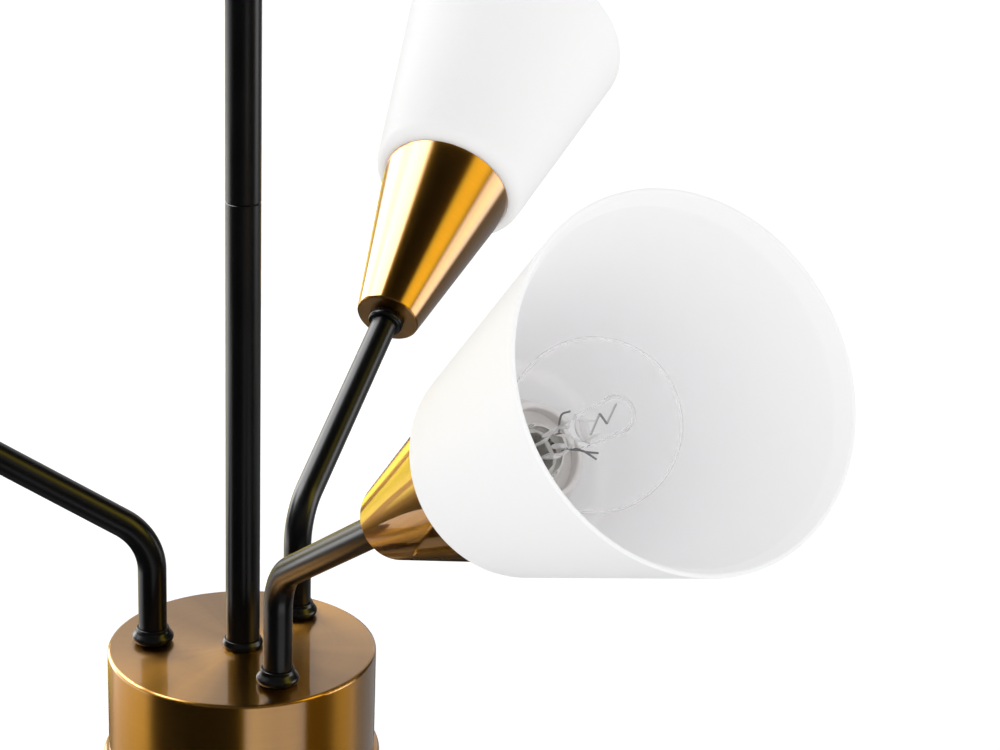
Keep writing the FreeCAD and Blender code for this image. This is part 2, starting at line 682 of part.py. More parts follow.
def arm_parts():
    """The pieces of one arm in the arm's own frame, its head's pieces already tilted."""
    pieces = {
        "arm_tube": arm_tube(),
        "arm_flange": arm_flange(),
        "arm_nuts": arm_nuts(),
        "arm_wires": arm_wires(),
    }
    head = {
        "cone_collar": cone_collar(),
        "cone": cone(),
        "lampholder": lampholder(),
        "socket_contacts": socket_contacts(),
        "shade_ring": shade_ring(),
        "shade": shade(),
        "bulb_glass": bulb_glass(),
        "bulb_cap": bulb_cap(),
        "bulb_capsule": bulb_capsule(),
        "bulb_leads": bulb_leads(),
    }
    tilt = head_placement()
    for name, shape in head.items():
        pieces[name] = placed(shape, tilt)
    return pieces


def export(name, shape):
    shape.exportStep(os.path.join("parts", name + ".step"))


os.makedirs("parts", exist_ok=True)
for name, shape in fixed_parts().items():
    export(name, shape)
one_arm = arm_parts()
for arm, (azimuth, swivel) in ARMS.items():
    stand = FreeCAD.Placement(foot_point(azimuth, HUB_Z), FreeCAD.Rotation(UP, azimuth + swivel))
    for name, shape in one_arm.items():
        export(arm + "_" + name, placed(shape, stand))
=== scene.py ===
import json
import math

import bpy
import numpy as np
from mathutils import Matrix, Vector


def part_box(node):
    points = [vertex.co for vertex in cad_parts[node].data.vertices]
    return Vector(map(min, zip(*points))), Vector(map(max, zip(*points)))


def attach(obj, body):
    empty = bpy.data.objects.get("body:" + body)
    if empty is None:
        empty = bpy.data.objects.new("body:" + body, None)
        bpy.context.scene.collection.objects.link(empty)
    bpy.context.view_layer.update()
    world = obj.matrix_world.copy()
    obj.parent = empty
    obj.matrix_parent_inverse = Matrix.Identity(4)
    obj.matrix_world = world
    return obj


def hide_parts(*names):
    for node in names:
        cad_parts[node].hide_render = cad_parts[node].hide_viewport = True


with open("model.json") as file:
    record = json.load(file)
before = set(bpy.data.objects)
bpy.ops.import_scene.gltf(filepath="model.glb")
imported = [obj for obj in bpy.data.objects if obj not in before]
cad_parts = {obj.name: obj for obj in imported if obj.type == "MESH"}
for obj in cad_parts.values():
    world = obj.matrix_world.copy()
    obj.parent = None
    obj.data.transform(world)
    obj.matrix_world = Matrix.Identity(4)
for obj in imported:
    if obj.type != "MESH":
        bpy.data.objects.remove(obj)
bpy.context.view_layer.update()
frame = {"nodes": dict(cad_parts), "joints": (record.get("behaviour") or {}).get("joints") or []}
nodes = frame["nodes"]
joints = {joint["name"]: joint for joint in frame["joints"]}
MM = 0.001

# Ceiling fitting: a slotted steel strip, its side screws, the threaded nipples with their nuts and
# the yoke inside the hub. All are zinc-plated steel, cut and bent or turned, with a dull bluish
# bloom that differs a little from place to place.
ZINC = (0.56, 0.57, 0.58, 1)
ZINC_DULL = (0.40, 0.41, 0.43, 1)


class Link:
    """One output of a shader node. Arithmetic on it adds the Math nodes."""

    def __init__(self, tree, socket):
        self.tree = tree
        self.socket = socket

    def maths(self, operation, *values):
        return self.tree.node("ShaderNodeMath", {"operation": operation}, dict(enumerate(values)))

    def __add__(self, other):
        return self.maths("ADD", self, other)

    def __sub__(self, other):
        return self.maths("SUBTRACT", self, other)

    def __rsub__(self, other):
        return self.maths("SUBTRACT", other, self)

    def __mul__(self, other):
        return self.maths("MULTIPLY", self, other)

    __radd__ = __add__
    __rmul__ = __mul__

    def out(self, name):
        """Another output of the same node."""
        return Link(self.tree, self.socket.node.outputs[name])


class Tree:
    """A shader's nodes. node() adds one of any type, with its settings and its sockets' values."""

    def __init__(self, node_tree):
        self.node_tree = node_tree

    def node(self, kind, settings, sockets):
        made = self.node_tree.nodes.new(kind)
        for name, value in settings.items():
            setattr(made, name, value)
        for key, value in sockets.items():
            self.feed(made.inputs[key], value)
        return Link(self, next(socket for socket in made.outputs if socket.enabled))

    def feed(self, socket, value):
        if isinstance(value, Link):
            self.node_tree.links.new(value.socket, socket)
        else:
            socket.default_value = value


class Finish(Tree):
    """A material of one Principled shader, whose steady values are set on its own sockets."""

    def __init__(self, name, **steady):
        self.material = bpy.data.materials.new(name)
        self.material.use_nodes = True
        super().__init__(self.material.node_tree)
        self.shader = self.node_tree.nodes["Principled BSDF"]
        for key, value in steady.items():
            self.shader.inputs[key.replace("_", " ")].default_value = value

    def set(self, socket, value):
        self.feed(self.shader.inputs[socket], value)

    def place(self, stretch=(1, 1, 1)):
        """Where the surface is in the room, in metres, stretched along X, Y and Z."""
        here = self.node("ShaderNodeTexCoord", {}, {}).out("Object")
        return self.node("ShaderNodeMapping", {}, {"Vector": here, "Scale": stretch})

    def strip(self, along, around):
        """Where the surface is on its own strip: metres along its outline, and turns round it, each
        stretched by its own share."""
        here = self.node("ShaderNodeUVMap", {"uv_map": "strip"}, {})
        return self.node("ShaderNodeMapping", {}, {"Vector": here, "Scale": (along, around, 1)})

    def noise(self, where, scale, detail=2.0):
        """Soft random patches between 0 and 1, as many to a metre as the scale."""
        return self.node("ShaderNodeTexNoise", {}, {"Vector": where, "Scale": scale, "Detail": detail})

    def blend(self, share, first, second):
        """Colour between two colours, by a share from 0 to 1."""
        return self.node("ShaderNodeMix", {"data_type": "RGBA"}, {0: share, 6: first, 7: second})

    def relief(self, height, depth):
        """Bumps of the height between 0 and 1, times the depth in metres."""
        self.set("Normal", self.node("ShaderNodeBump", {}, {"Height": height, "Distance": depth}))


def zinc_steel():
    """Zinc plate. The same bloom dulls its colour and its shine, over fine upright scratches."""
    zinc = Finish("zinc_steel", Metallic=1.0)
    bloom = zinc.noise(zinc.place(), 260.0, 3.0)
    zinc.set("Base Color", zinc.blend(bloom, ZINC, ZINC_DULL))
    zinc.set("Roughness", bloom * 0.25 + 0.22)
    zinc.relief(zinc.noise(zinc.place((1, 1, 6)), 900.0), 0.02 * MM)
    return zinc.material


def wear(material, *names):
    """Gives CAD nodes their finish."""
    for name in names:
        nodes[name].data.materials.clear()
        nodes[name].data.materials.append(material)


ARMS = ("front", "rear", "left")
wear(zinc_steel(), "ceiling_bracket", "canopy_screws", "canopy_nipple", "canopy_nut", "stem_joiner",
     "hub_nipple", "hub_nut", "hub_yoke", *(arm + "_arm_nuts" for arm in ARMS))

# Terminal block and crimp caps: moulded off-white plastic parts that join the wires, out of sight
# in the canopy and in the hub. The mould leaves them slightly mottled.
BLOCK_WHITE = (0.74, 0.72, 0.66, 1)
BLOCK_SHADE = (0.66, 0.64, 0.58, 1)


def moulded(name, pale, deep, roughness, grain, depth):
    """Plastic that is mottled between two colours in soft patches, as many to a metre as the grain."""
    plastic = Finish(name)
    mottle = plastic.noise(plastic.place(), grain)
    plastic.set("Base Color", plastic.blend(mottle, pale, deep))
    plastic.set("Roughness", mottle * 0.1 + roughness)
    plastic.relief(plastic.noise(plastic.place(), grain * 12), depth)
    return plastic.material


wear(moulded("block_plastic", BLOCK_WHITE, BLOCK_SHADE, 0.45, 120.0, 0.02 * MM),
     "terminal_block", "hub_connectors")

# Wires: stranded copper in smooth extruded insulation, held all the way inside the stem, the hub
# and the arms.
WIRE_GREY = (0.55, 0.53, 0.50, 1)
WIRE_DEEP = (0.45, 0.43, 0.41, 1)
wear(moulded("wire_insulation", WIRE_GREY, WIRE_DEEP, 0.28, 60.0, 0.01 * MM),
     "stem_wires", *(arm + "_arm_wires" for arm in ARMS))

# Canopy: a drawn sheet-steel cup against the ceiling, stoved satin black like the stem and arms.
# The paint has a very fine skin of waves and is a little duller in some places than in others.
PAINT = (0.0012, 0.0012, 0.0015, 1)
PAINT_WORN = (0.0028, 0.0028, 0.0033, 1)


def black_paint():
    """Satin paint, duller in some patches than in others, with a fine skin of waves."""
    paint = Finish("black_paint", Specular_IOR_Level=0.3)
    cloud = paint.noise(paint.place(), 45.0, 3.0)
    paint.set("Base Color", paint.blend(cloud, PAINT, PAINT_WORN))
    paint.set("Roughness", cloud * 0.10 + 0.25)
    paint.relief(paint.noise(paint.place(), 1500.0, 1.0), 0.004 * MM)
    return paint.material


paint = black_paint()
wear(paint, "canopy")

# Stem: two lengths of 12 mm steel tube, stoved black, that screw together on a joiner. Their ends
# are chamfered, so the seam shows as a fine line. A small bead covers the stem's foot on the hub.
STEM_R = 6.0
STEM_BORE_R = 5.0
SEAM_CHAMFER = 0.35
BEAD_R = 7.2
BEAD_H = 3.2
ARC_STEPS = 8
ARC_GUARD = 0.03
SAME_SPOT = 1e-7
NEARLY_STRAIGHT = 0.999999
TINY = 1e-9


def unit(vectors):
    """Each vector over its own length."""
    return vectors / np.linalg.norm(vectors, axis=-1, keepdims=True)


def outline(corners, closed=True):
    """Line in metres through (radius, height, rounding) corners in millimetres. A rounding is an
    arc that touches both sides of its corner: its centre is on the line that halves the corner,
    and its points turn evenly from one touching point to the other. One more point just outside
    each end of an arc keeps the sides flat. Points on the same spot become one."""
    spots = np.array([corner[:2] for corner in corners], float) * MM
    rounding = np.array([corner[2] if len(corner) > 2 else 0.0 for corner in corners])[:, None] * MM
    back = unit(np.roll(spots, 1, 0) - spots)
    ahead = unit(np.roll(spots, -1, 0) - spots)
    half = np.arccos(np.clip((back * ahead).sum(1, keepdims=True), -NEARLY_STRAIGHT, NEARLY_STRAIGHT)) / 2
    reach = rounding / np.tan(half)
    centre = spots + unit(back + ahead + TINY) * rounding / np.sin(half)
    first = spots + back * reach - centre
    last = spots + ahead * reach - centre
    sweep = (math.pi - 2 * half)[:, :, None]
    share = np.linspace(0, 1, ARC_STEPS + 1)[None, :, None]
    arc = np.sin((1 - share) * sweep) * first[:, None] + np.sin(share * sweep) * last[:, None]
    arc = arc / np.sin(sweep)
    before = (spots + back * (reach + ARC_GUARD * rounding))[:, None]
    after = (spots + ahead * (reach + ARC_GUARD * rounding))[:, None]
    line = np.concatenate([before, centre[:, None] + arc, after], 1).reshape(-1, 2)
    gaps = np.linalg.norm(np.diff(line, axis=0), axis=1)
    line = np.vstack([line[:1], line[1:][gaps > SAME_SPOT]])
    if closed and np.linalg.norm(line[0] - line[-1]) < SAME_SPOT:
        line = line[:-1]
    return line


def lathe(line, around=96):
    """Grid of an outline turned about Z: (r cos a, r sin a, z) for evenly spaced angles a."""
    angle = np.linspace(0, 2 * math.pi, around, endpoint=False)
    radius, height = line[:, :1], line[:, 1:]
    return np.stack([radius * np.cos(angle), radius * np.sin(angle), height + 0 * angle], -1)


def skin(grid, poles):
    """Faces and strip coordinates over a grid whose columns close round. With poles, its first and
    last rows are one point each; without, its rows close round too. Faces point outwards: if the
    tetrahedra from the middle to all faces add up to a negative volume, they are turned over."""
    rows, columns = grid.shape[:2]
    points = grid.reshape(-1, 3)
    index = np.arange(rows * columns).reshape(rows, columns)
    if poles:
        points = np.vstack([grid[0, :1], grid[1:-1].reshape(-1, 3), grid[-1, :1]])
        index = np.clip(index - columns + 1, 0, len(points) - 1)
        index[-1] = len(points) - 1
    else:
        index = np.vstack([index, index[:1]])
    runs = np.linalg.norm(np.diff(np.vstack([grid[:, 0], grid[:1, 0]]), axis=0), axis=1)
    along = np.concatenate([[0], np.cumsum(runs)])
    low, high = index[:-1], index[1:]
    faces = np.stack([low, np.roll(low, -1, 1), np.roll(high, -1, 1), high], -1)
    row, column = np.meshgrid(np.arange(len(low)), np.arange(columns), indexing="ij")
    strip = np.stack([along[np.stack([row, row, row + 1, row + 1], -1)],
                      np.stack([column, column + 1, column + 1, column], -1) / columns], -1)
    corner = points[faces] - points.mean(0)
    spread = np.cross(corner[..., 2, :] - corner[..., 0, :], corner[..., 3, :] - corner[..., 1, :])
    if (spread * corner.mean(-2)).sum() < 0:
        faces, strip = faces[..., ::-1], strip[..., ::-1, :]
    return points, faces.reshape(-1, 4), strip.reshape(-1, 4, 2)


SHARP_EDGE = 38.0


def piece(name, body, finish, parts, replaced=(), place=None):
    """One finished piece from (grid, poles, inward) parts, moved by a 4 by 4 placement. It rides on
    its body and takes the material slot's finish. A part that is marked inward bounds a hollow."""
    points, faces, strips, start = [], [], [], 0
    for grid, poles, inward in parts:
        some_points, some_faces, some_strip = skin(grid, poles)
        if inward:
            some_faces, some_strip = some_faces[:, ::-1], some_strip[:, ::-1]
        points.append(some_points)
        faces.append(some_faces + start)
        strips.append(some_strip)
        start += len(some_points)
    points, faces, strips = np.vstack(points), np.vstack(faces), np.vstack(strips)
    if place is not None:
        points = points @ place[:3, :3].T + place[:3, 3]
    repeated = faces == np.roll(faces, -1, 1)
    whole = ~repeated.any(1)
    folded = faces[~whole][~repeated[~whole]].reshape(-1, 3)
    mesh = bpy.data.meshes.new(name)
    mesh.from_pydata(points.tolist(), [], faces[whole].tolist() + folded.tolist())
    strip = np.vstack([strips[whole].reshape(-1, 2), strips[~whole][~repeated[~whole]]])
    mesh.uv_layers.new(name="strip").data.foreach_set("uv", strip.reshape(-1))
    mesh.shade_smooth()
    mesh.set_sharp_from_angle(angle=math.radians(SHARP_EDGE))
    mesh.materials.append(finish)
    made = bpy.data.objects.new(name, mesh)
    bpy.context.scene.collection.objects.link(made)
    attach(made, body)
    if replaced:
        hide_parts(*replaced)
    return made


def turned(name, body, finish, corners, replaced=(), place=None, around=96):
    """Piece turned from one outline. It is a ring, unless the outline starts on the axis."""
    poles = corners[0][0] == 0
    return piece(name, body, finish, [(lathe(outline(corners, not poles), around), poles, False)],
                 replaced, place)


HANGING = "ceiling_and_hub"
canopy_bottom, seam, hub_top = (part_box(name)[0].z / MM for name in ("canopy", "upper_stem", "lower_stem"))
turned("upper_stem_tube", HANGING, paint,
       [(STEM_BORE_R, seam), (STEM_R - SEAM_CHAMFER, seam), (STEM_R, seam + SEAM_CHAMFER),
        (STEM_R, canopy_bottom), (STEM_BORE_R, canopy_bottom)], ["upper_stem"], around=64)
turned("lower_stem_tube", HANGING, paint,
       [(STEM_BORE_R, hub_top), (STEM_R, hub_top), (STEM_R, seam - SEAM_CHAMFER),
        (STEM_R - SEAM_CHAMFER, seam), (STEM_BORE_R, seam)], ["lower_stem"], around=64)
turned("stem_bead", HANGING, paint,
       [(STEM_R, hub_top), (BEAD_R - 0.2, hub_top, 0.3), (BEAD_R, hub_top + BEAD_H * 0.5, 1.4),
        (STEM_R + 0.45, hub_top + BEAD_H, 0.4), (STEM_R, hub_top + BEAD_H)], ["stem_foot_ring"], around=64)

# Hub: a deep-drawn brass drum and the shallow cup that closes it below, with the turned knob that
# draws the cup up. They are brushed in the lathe, so fine rings run round them, then antiqued
# brown and lacquered.
BRASS = (0.43, 0.205, 0.026, 1)
BRASS_DEEP = (0.31, 0.138, 0.015, 1)
COVER_R = 49.3
COVER_H = 8.0
COVER_SHEET = 1.2
DRUM_R = 47.42
KNOB_R = 9.0
KNOB_NECK_R = KNOB_R * 0.62
KNOB_H = 8.0
STUD_R = 2.5
STUD_L = 12.0
STUD_HOLE_R = STUD_R + 0.3
RINGS_TO_A_METRE = 4200.0
STREAKS_TO_A_METRE = 900.0
# Painted highlight on the drum: how many soft fans of light go round its axis, and how strongly.
PAINTED_FANS_ROUND_AXIS = 3.2
PAINTED_FAN_CONTRAST = 4.5


def antique_brass(name, on_strip):
    """Brushed brass. Its fine rings follow the strip, or on the drum the distance from the axis
    and the height, and highlights are drawn out across them. On the drum, noise of the direction
    away from the axis paints soft fans of highlight into the colour, and into the roughness too."""
    brass = Finish(name, Metallic=1.0, Anisotropic=0.85, Coat_Weight=1.0, Coat_Roughness=0.03)
    if on_strip:
        brushed = {"direction_type": "UV_MAP", "uv_map": "strip"}
        rings = brass.noise(brass.strip(1, 0.0005), RINGS_TO_A_METRE, 3.0)
        streaks = brass.noise(brass.strip(1, 0.02), STREAKS_TO_A_METRE, 2.0)
    else:
        brushed = {"direction_type": "RADIAL", "axis": "Z"}
        brass.shader.inputs["Anisotropic Rotation"].default_value = 0.25
        flat = brass.place((1, 1, 0))
        across = brass.node("ShaderNodeVectorMath", {"operation": "LENGTH"}, {0: flat}).out("Value")
        outward = brass.node("ShaderNodeVectorMath", {"operation": "NORMALIZE"}, {0: flat}).out("Vector")
        height = brass.node("ShaderNodeSeparateXYZ", {}, {0: brass.place()}).out("Z")
        level = brass.node("ShaderNodeCombineXYZ", {}, {0: across, 1: height})
        rings = brass.noise(level, RINGS_TO_A_METRE, 3.0)
        # Painted highlight: soft fans of light round the drum, painted into the colour and the roughness
        # with the streaks.
        painted_fan = brass.noise(outward, PAINTED_FANS_ROUND_AXIS, 3.0)
        streaks = brass.noise(level, STREAKS_TO_A_METRE, 2.0) + (painted_fan - 0.5) * PAINTED_FAN_CONTRAST
    brass.set("Tangent", brass.node("ShaderNodeTangent", brushed, {}))
    patina = brass.noise(brass.place(), 28.0, 3.0)
    brass.set("Base Color", brass.blend(patina * 0.7 + streaks * 0.25 - 0.05, BRASS, BRASS_DEEP))
    brass.set("Roughness", rings * 0.06 + streaks * 0.04 + 0.265)
    brass.relief(rings, 0.0008 * MM)
    return brass.material


brass = antique_brass("antique_brass", True)
wear(antique_brass("antique_brass_drum", False), "hub_drum")
cover_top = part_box("hub_cover")[1].z / MM
cover_low = cover_top - COVER_H
turned("hub_cover_cup", HANGING, brass,
       [(STUD_HOLE_R, cover_low), (COVER_R, cover_low, 3.0), (COVER_R, cover_top, 1.6),
        (DRUM_R, cover_top), (DRUM_R, cover_low + COVER_SHEET), (STUD_HOLE_R, cover_low + COVER_SHEET)],
       ["hub_cover"], around=160)
knob_low = cover_low - KNOB_H
stud_top = cover_low + STUD_L
turned("hub_knob", HANGING, brass,
       [(0, knob_low), (KNOB_R, knob_low, 3.2), (KNOB_R, cover_low - 2.6, 1.2),
        (KNOB_NECK_R, cover_low - 1.6, 0.6), (KNOB_NECK_R, cover_low), (STUD_R, cover_low),
        (STUD_R, stud_top), (0, stud_top)], ["cover_knob"])

# Arms: 10 mm steel tube, cut, threaded at its foot, bent once and stoved black. Each stands on the
# drum in a low turned flange and swivels there against a friction washer.
ARM_R = 5.0
ARM_BORE_R = 4.0
ARM_RISE = 27.5
ARM_BEND_R = 21.5
ARM_STRAIGHT = 85.5
ARM_THREAD_L = 12.0
ARM_END_IN_HEAD = 39.5
BEND_GUARD = 0.8
SWIVEL_FIT = 0.05
FLANGE_H = 5.6


def turn_z(angle):
    """Placement that turns X towards Y by an angle."""
    turned_by = np.eye(4)
    turned_by[:2, :2] = [[math.cos(angle), -math.sin(angle)], [math.sin(angle), math.cos(angle)]]
    return turned_by


def turn_y(angle):
    """Placement that leans Z towards X by an angle."""
    along, across = math.cos(angle), math.sin(angle)
    turned_by = np.eye(4)
    turned_by[:3, :3] = [[along, 0, across], [0, 1, 0], [-across, 0, along]]
    return turned_by


def shift(x, y, z):
    """Placement that moves by x, y and z metres."""
    moved_by = np.eye(4)
    moved_by[:3, 3] = x, y, z
    return moved_by


def stand_of(arm):
    """Placement of an arm built with its foot on Z and its tube towards +X: turned to the way that
    its bulb comes out, and moved to its foot."""
    foot = joints[arm + "_arm_swivel"]["pos_m"]
    out = joints[arm + "_bulb_out"]["axis"]
    return shift(*foot) @ turn_z(math.atan2(out[1], out[0]))


def bent_tube():
    """Grid of the arm's tube: rings round a line that rises, turns by an even arc and runs on
    straight. A ring's points are p + r (cos a n + sin a y), with n square to the line in its
    plane. The rings go out on the outside and come back on the bore. A ring just before and just
    after the bend keeps the straight runs straight."""
    turn = math.acos(joints["front_bulb_out"]["axis"][2])
    bend = np.linspace(0, turn, 25)
    corner = np.stack([ARM_BEND_R * (1 - np.cos(bend)), ARM_RISE + ARM_BEND_R * np.sin(bend)], 1)
    heading = np.array([math.sin(turn), math.cos(turn)])
    end = corner[-1] + heading * (ARM_STRAIGHT + ARM_END_IN_HEAD)
    rise = [[0, -ARM_THREAD_L], [0, ARM_RISE - BEND_GUARD]]
    line = np.vstack([rise, corner, [corner[-1] + heading * BEND_GUARD, end]]) * MM
    lean = np.concatenate([[0, 0], bend, [turn, turn]])
    angle = np.linspace(0, 2 * math.pi, 48, endpoint=False)
    normal = np.stack([np.cos(lean), 0 * lean, -np.sin(lean)], 1)[:, None]
    ring = np.cos(angle)[None, :, None] * normal + np.sin(angle)[None, :, None] * np.array([0, 1, 0])
    middle = np.stack([line[:, 0], 0 * lean, line[:, 1]], 1)[:, None]
    return np.concatenate([middle + ARM_R * MM * ring, (middle + ARM_BORE_R * MM * ring)[::-1]])


ARM_FLANGE = [(ARM_R, SWIVEL_FIT), (6.4, SWIVEL_FIT, 0.4), (7.75, 2.0, 1.6), (6.0, 4.3, 2.0),
              (5.7, FLANGE_H, 0.4), (ARM_R, FLANGE_H)]
for arm in ARMS:
    piece(arm + "_bent_tube", arm + "_arm", paint, [(bent_tube(), False, False)],
          [arm + "_arm_tube"], stand_of(arm))
    turned(arm + "_foot_flange", arm + "_arm", paint, ARM_FLANGE, [arm + "_arm_flange"],
           stand_of(arm), around=64)

# Cones: spun brass, brushed and antiqued like the hub, with a flat back against a rounded black
# collar on the tube. The wide end closes on the glass.
COLLAR_R = 6.9
COLLAR_L = 3.6
CONE_SMALL_R = 12.3
CONE_LARGE_R = 26.5
CONE_L = 72.5
CONE_SHEET = 1.0
CONE_EDGE = 0.8
CONE_HOLE_R = ARM_R + 0.05


def head_of(arm):
    """Placement of a head built along Z from its cone's back: at the end of the arm's straight run,
    leaned from upright into the way that the bulb comes out."""
    turn = math.acos(joints[arm + "_bulb_out"]["axis"][2])
    x = ARM_BEND_R * (1 - math.cos(turn)) + ARM_STRAIGHT * math.sin(turn)
    z = ARM_RISE + ARM_BEND_R * math.sin(turn) + ARM_STRAIGHT * math.cos(turn)
    return stand_of(arm) @ shift(x * MM, 0, z * MM) @ turn_y(turn)


slope = (CONE_LARGE_R - CONE_SMALL_R) / CONE_L
COLLAR = [(ARM_R, -COLLAR_L), (COLLAR_R, -COLLAR_L, 1.4), (COLLAR_R, 0, 0.6), (ARM_R, 0)]
CONE = [(CONE_HOLE_R, 0), (CONE_SMALL_R, 0, CONE_EDGE), (CONE_LARGE_R, CONE_L, 0.15),
        (CONE_LARGE_R - CONE_SHEET, CONE_L, 0.15),
        (CONE_SMALL_R - CONE_SHEET + slope * CONE_SHEET, CONE_SHEET), (CONE_HOLE_R, CONE_SHEET)]
for arm in ARMS:
    turned(arm + "_collar", arm + "_arm", paint, COLLAR, [arm + "_cone_collar"],
           head_of(arm), 64)
    turned(arm + "_brass_cone", arm + "_arm", brass, CONE, [arm + "_cone"],
           head_of(arm), 128)

# Lampholders: pale heat-resistant plastic, moulded with a thread outside that the shade ring
# screws onto. A bright sleeve and a springy tongue inside take the bulb's cap.
HOLDER_PALE = (0.80, 0.775, 0.755, 1)
HOLDER_DEEP = (0.70, 0.675, 0.655, 1)
CONTACT = (0.70, 0.55, 0.28, 1)
CONTACT_DULL = (0.50, 0.38, 0.20, 1)
HOLDER_R = 14.0
HOLDER_BACK = CONE_L - 35.0
HOLDER_FRONT = CONE_L + 18.0
HOLDER_TAIL_R = 7.5
HOLDER_BODY_R = 12.5
HOLDER_FLANGE_R = 18.0
HOLDER_MOUTH_R = HOLDER_R - 1.9
HOLDER_PITCH = 2.3
HOLDER_THREAD = 0.7
WELL_R = 7.25
WELL_TOP = CONE_L + 14
WELL_LOW = CONE_L - 10.5
THREAD_STEP = 0.25
GLASS_WALL = 2.2
RING_R = 17.5
RING_H = 6.0


def threaded(grid, low, high, pitch, depth, least_r=0.0):
    """The grid with a thread cut into it between two heights, in millimetres. The radius drops by
    the depth times half of 1 - cos(2 pi t), where t is height over pitch less turns round, and the
    drop fades in over half a pitch at both ends."""
    height = grid[..., 2] / MM
    radius = np.hypot(grid[..., 0], grid[..., 1]) / MM
    turns = height / pitch - np.arctan2(grid[..., 1], grid[..., 0]) / (2 * math.pi)
    fade = np.clip(np.minimum(height - low, high - height) / (pitch / 2), 0, 1) * (radius > least_r)
    share = 1 - depth * fade * (1 - np.cos(2 * math.pi * turns)) / 2 / np.maximum(radius, 1e-3)
    return grid * np.stack([share, share, np.ones_like(share)], -1)


def runs(start, end, step):
    """Plain (radius, height) corners from start to end, evenly spaced, about a step apart."""
    count = max(2, int(math.hypot(end[0] - start[0], end[1] - start[1]) / step) + 1)
    return [tuple(spot) for spot in np.linspace(start, end, count)]


def tarnished(name, metallic, bright, dull, grain, smooth, spread):
    """Metal that is tarnished between two colours in soft patches, as many to a metre as the grain.
    Where it is dull, it is rougher by the spread."""
    metal = Finish(name, Metallic=metallic)
    tarnish = metal.noise(metal.place(), grain, 3.0)
    metal.set("Base Color", metal.blend(tarnish, bright, dull))
    metal.set("Roughness", tarnish * spread + smooth)
    return metal.material


holder_plastic = moulded("holder_plastic", HOLDER_PALE, HOLDER_DEEP, 0.38, 140.0, 0.01 * MM)
wear(tarnished("contact_metal", 1.0, CONTACT, CONTACT_DULL, 420.0, 0.2, 0.2),
     *(arm + "_socket_contacts" for arm in ARMS))

ring_low = CONE_L + GLASS_WALL
HOLDER = ([(0, HOLDER_BACK + 4.0), (ARM_R, HOLDER_BACK + 4.0), (ARM_R, HOLDER_BACK),
           (HOLDER_TAIL_R, HOLDER_BACK, 0.6), (HOLDER_TAIL_R, HOLDER_BACK + 5),
           (HOLDER_BODY_R, HOLDER_BACK + 7, 1.2), (HOLDER_BODY_R, CONE_L - 8), (HOLDER_R, CONE_L - 6),
           (HOLDER_R, CONE_L - 2), (HOLDER_FLANGE_R, CONE_L - 2, 0.5), (HOLDER_FLANGE_R, CONE_L),
           (HOLDER_R, CONE_L)]
          + runs((HOLDER_R, CONE_L + 1), (HOLDER_R, HOLDER_FRONT - 1.2), THREAD_STEP)
          + [(HOLDER_R, HOLDER_FRONT, 0.9), (HOLDER_MOUTH_R, HOLDER_FRONT, 0.7),
             (HOLDER_MOUTH_R, WELL_TOP), (WELL_R, WELL_TOP), (WELL_R, WELL_LOW), (0, WELL_LOW)])
RING = [(HOLDER_R, ring_low), (RING_R, ring_low, 0.5), (RING_R, ring_low + RING_H, 1.2),
        (HOLDER_R, ring_low + RING_H, 0.3)]
holder = threaded(lathe(outline(HOLDER, False)), CONE_L + 1, HOLDER_FRONT - 0.8, HOLDER_PITCH, HOLDER_THREAD,
                  HOLDER_R - 0.5)
for arm in ARMS:
    piece(arm + "_threaded_holder", arm + "_arm", holder_plastic, [(holder, True, False)],
          [arm + "_lampholder"], head_of(arm))
    turned(arm + "_clamp_ring", arm + "_arm", holder_plastic, RING, [arm + "_shade_ring"],
           head_of(arm))

# Shades: thick opal glass, blown in a mould and satin-etched, white all through. The base has a
# hole for the lampholder, and the lip is rounded in the fire.
OPAL = (0.980, 0.980, 0.990, 1)
OPAL_CLOUD = (0.972, 0.971, 0.981, 1)
GLASS_BASE_R = 30.5
GLASS_MOUTH_R = 47.5
GLASS_L = 94.5
GLASS_CORNER = 6.0
GLASS_HOLE_R = 14.3
LIP_W = 1.1
LIP_R = 0.45
LIP_L = 5.0

opal = Finish("opal_glass", Specular_IOR_Level=0.03, Subsurface_Weight=1.0, Subsurface_Scale=2.5 * MM)
opal.shader.inputs["Subsurface Radius"].default_value = (1.0, 1.0, 1.0)
cloud = opal.noise(opal.place(), 18.0, 2.0)
opal.set("Base Color", opal.blend(cloud, OPAL, OPAL_CLOUD))
opal.set("Roughness", cloud * 0.1 + 0.36)
opal.relief(opal.noise(opal.place(), 60.0, 1.0), 0.02 * MM)

flare = math.atan2(GLASS_MOUTH_R - GLASS_BASE_R, GLASS_L)
wall_across = GLASS_WALL / math.cos(flare)
mouth = CONE_L + GLASS_L
SHADE = [(GLASS_HOLE_R, CONE_L, 0.3), (GLASS_BASE_R, CONE_L, GLASS_CORNER), (GLASS_MOUTH_R, mouth, LIP_R),
         (GLASS_MOUTH_R - LIP_W, mouth, LIP_R),
         (GLASS_MOUTH_R - wall_across - LIP_L * math.tan(flare), mouth - LIP_L, 4.0),
         (GLASS_BASE_R - wall_across + GLASS_WALL * math.tan(flare), ring_low, GLASS_CORNER - 2.0),
         (GLASS_HOLE_R, ring_low, 0.3)]
for arm in ARMS:
    turned(arm + "_opal_shade", arm + "_arm", opal.material, SHADE, [arm + "_shade"],
           head_of(arm), 192)

